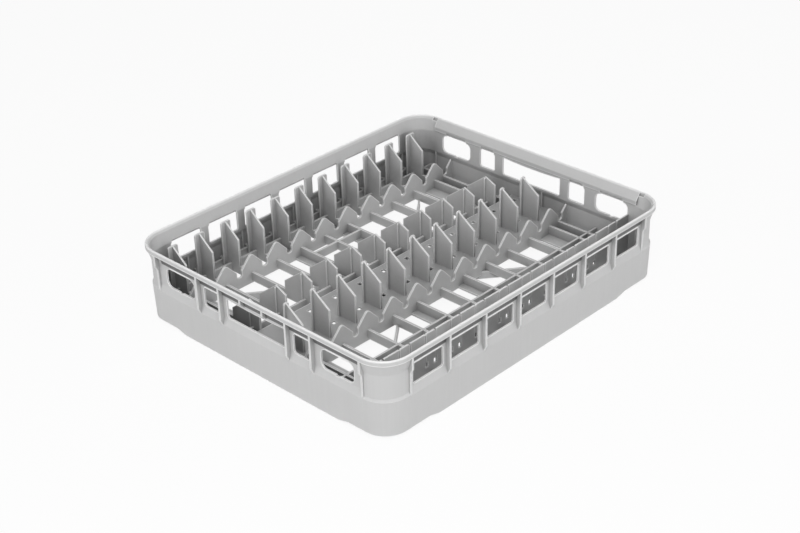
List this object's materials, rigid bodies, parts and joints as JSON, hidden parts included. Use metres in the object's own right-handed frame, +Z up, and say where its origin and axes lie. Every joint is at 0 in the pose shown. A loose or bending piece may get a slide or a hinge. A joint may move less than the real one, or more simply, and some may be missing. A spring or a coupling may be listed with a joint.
{
  "type": "dishwasher plate rack",
  "caption": "Open one-piece moulded tray with upright fins and notched webs that hold plates on edge, inside a low windowed wall with a hanging rim and hand grips.",
  "frame": {"origin": "centre of the rectangular outline, on the plane that the rack stands on", "axes": "+X along the long side, +Y along the short side towards the tall fins, +Z up"},
  "size_m": [0.6, 0.5, 0.123],
  "materials": {
    "grey_plastic": "light grey moulded polypropylene, satin, with a fine even grain"
  },
  "bodies": {
    "root": {"plate_rack": "grey_plastic"}
  },
  "joints": []
}
